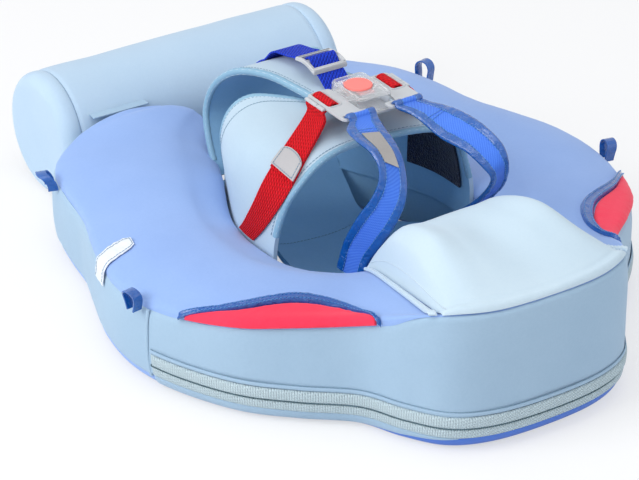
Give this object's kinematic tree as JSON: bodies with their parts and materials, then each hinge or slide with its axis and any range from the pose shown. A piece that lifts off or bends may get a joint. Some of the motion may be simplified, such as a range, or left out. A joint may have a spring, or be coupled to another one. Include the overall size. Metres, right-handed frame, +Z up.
{
  "type": "baby swim ring",
  "caption": "Foam horseshoe swim ring for a baby, with a raised chest pad, a tail bolster and a padded vest closed by a push-button harness buckle.",
  "frame": {"origin": "on the floor, under the middle of the whole ring", "axes": "+Z up, -Y toward the nose with the chest pad, +Y toward the tail bolster, -X side A, at the left of the picture"},
  "size_m": [0.4902, 0.6422, 0.1927],
  "materials": {
    "foam": "matte",
    "periwinkle": "matte",
    "pale_blue": "matte",
    "ice_blue": "matte",
    "lining": "matte",
    "coral": "satin",
    "coral_plastic": "satin",
    "gloss_blue": "gloss",
    "sage": "matte",
    "teal": "satin",
    "white": "matte",
    "red": "matte",
    "grey": "satin",
    "navy": "matte",
    "royal": "satin",
    "webbing_blue": "matte",
    "clear": "gloss",
    "steel": "satin"
  },
  "bodies": {
    "float": {"arm_end_panel_a": "periwinkle", "arm_end_panel_b": "periwinkle", "bottom_panel": "periwinkle", "buckle_base": "grey", "buckle_cover": "clear", "button_spring": "steel", "canopy_loop_a_front": "gloss_blue", "canopy_loop_a_rear": "gloss_blue", "canopy_loop_b_front": "gloss_blue", "canopy_loop_b_rear": "gloss_blue", "care_tag": "white", "chest_pad_cover": "ice_blue", "chest_pad_foam": "foam", "crescent_binding_a": "gloss_blue", "crescent_binding_b": "gloss_blue", "crotch_flap": "pale_blue", "crotch_webbing": "webbing_blue", "foam_core": "foam", "hole_lining": "lining", "loop_patch": "navy", "pad_binding_a": "ice_blue", "pad_binding_b": "ice_blue", "red_panel_a": "coral", "red_panel_b": "coral", "seat_sling": "lining", "shoulder_strap_a": "royal", "shoulder_strap_b": "royal", "side_band": "pale_blue", "tail_hinge_tab_a": "ice_blue", "tail_hinge_tab_b": "ice_blue", "top_cover": "periwinkle", "waist_webbing_a": "red", "waist_webbing_b": "red", "webbing_tab_a": "grey", "webbing_tab_b": "grey", "wing_a": "pale_blue", "wing_b": "pale_blue", "zip_tape_lower": "sage", "zip_tape_upper": "sage", "zip_teeth": "teal"},
    "tail": {"bolster_cover": "ice_blue", "bolster_end_a": "ice_blue", "bolster_end_b": "ice_blue", "bolster_foam": "foam"},
    "button": {"buckle_button": "coral_plastic", "latch_plate": "steel"},
    "tongue_a": {"tongue_a": "grey", "tongue_a_grip": "grey"},
    "tongue_b": {"tongue_b": "grey", "tongue_b_grip": "grey"},
    "ladder_lock": {"ladder_lock": "grey"}
  },
  "joints": [
    {"name": "tail_fold", "type": "hinge", "parent": "float", "child": "tail", "pos_m": [0, 0.20555, 0.09044], "axis": [1, 0, 0], "range_deg": [0, 100], "deforming": ["tail_hinge_tab_a", "tail_hinge_tab_b"]},
    {"name": "button_press", "type": "slide", "parent": "float", "child": "button", "axis": [0, 0, -1], "range_m": [0, 0.0025], "stiffness_N_per_m": 600, "springref_m": -0.002, "deforming": ["button_spring"]},
    {"name": "tongue_a_release", "type": "slide", "parent": "float", "child": "tongue_a", "axis": [-1, 0, 0], "range_m": [0, 0.025], "deforming": ["waist_webbing_a", "shoulder_strap_a"]},
    {"name": "tongue_b_release", "type": "slide", "parent": "float", "child": "tongue_b", "axis": [1, 0, 0], "range_m": [0, 0.025], "deforming": ["waist_webbing_b", "shoulder_strap_b"]},
    {"name": "ladder_lock_tilt", "type": "hinge", "parent": "float", "child": "ladder_lock", "pos_m": [0.005, 0.01195, 0.1875], "axis": [1, 0, 0], "range_deg": [0, 30], "deforming": ["crotch_webbing"]}
  ]
}
